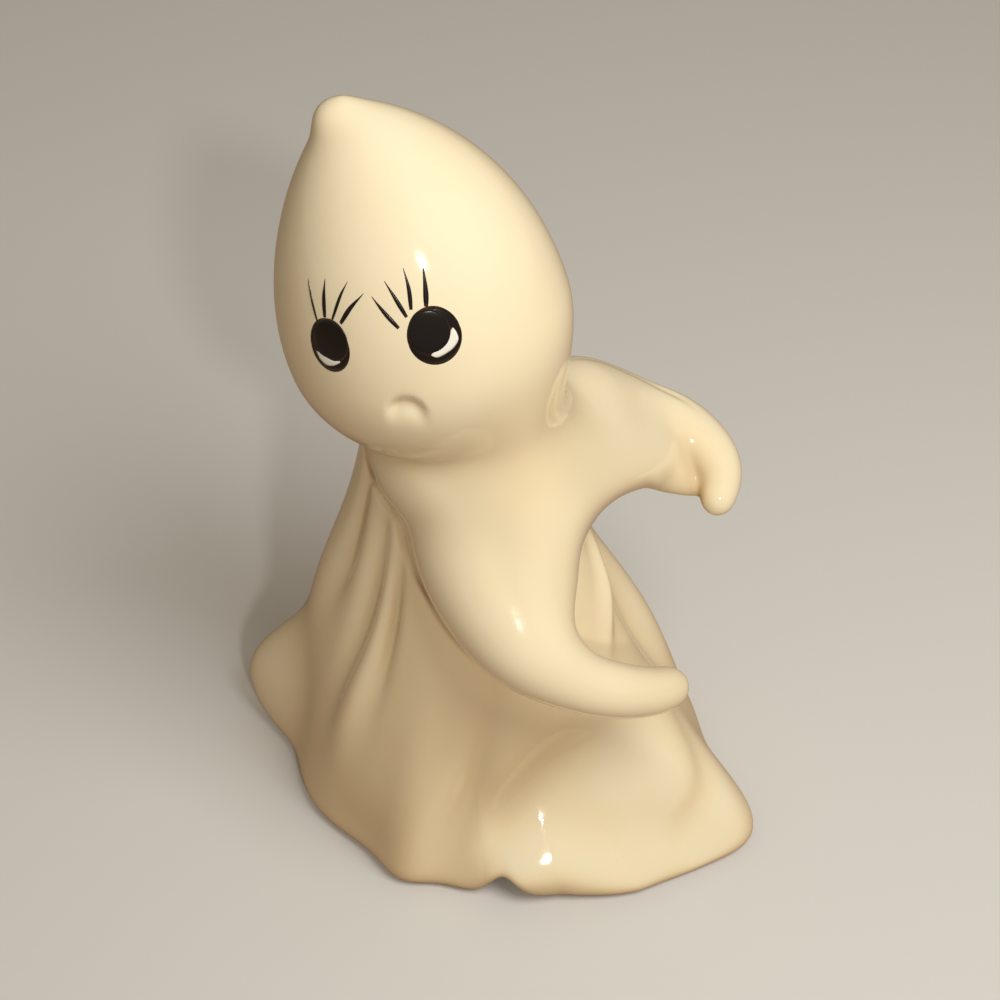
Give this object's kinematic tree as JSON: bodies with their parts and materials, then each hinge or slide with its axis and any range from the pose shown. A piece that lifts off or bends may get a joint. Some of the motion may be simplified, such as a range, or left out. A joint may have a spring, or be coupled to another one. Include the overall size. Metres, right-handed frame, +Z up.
{
  "type": "ghost candle holder",
  "caption": "Standing draped ghost in glazed ceramic: hooded head, hollow folded gown open underneath, and two arms curved round a slim upright candle.",
  "frame": {"origin": "middle of the object's plan, on the plane that the hem stands on", "axes": "+Z up, -Y towards the side that the face looks out of, +X towards the open side of the arms"},
  "size_m": [0.0974, 0.0702, 0.1509],
  "materials": {
    "cream_glaze": "thick glossy cream glaze over white earthenware",
    "black_enamel": "glossy brushed black overglaze enamel",
    "white_enamel": "glossy off-white overglaze enamel"
  },
  "bodies": {
    "root": {"gown_shell": "cream_glaze", "hood_head": "cream_glaze", "near_arm": "cream_glaze", "far_arm": "cream_glaze", "left_eye_iris": "black_enamel", "left_eye_underline": "black_enamel", "left_eye_lash_1": "black_enamel", "left_eye_lash_2": "black_enamel", "left_eye_lash_3": "black_enamel", "left_eye_lash_4": "black_enamel", "right_eye_iris": "black_enamel", "right_eye_underline": "black_enamel", "right_eye_lash_1": "black_enamel", "right_eye_lash_2": "black_enamel", "right_eye_lash_3": "black_enamel", "right_eye_lash_4": "black_enamel", "left_eye_crescent": "white_enamel", "right_eye_crescent": "white_enamel"}
  },
  "joints": []
}
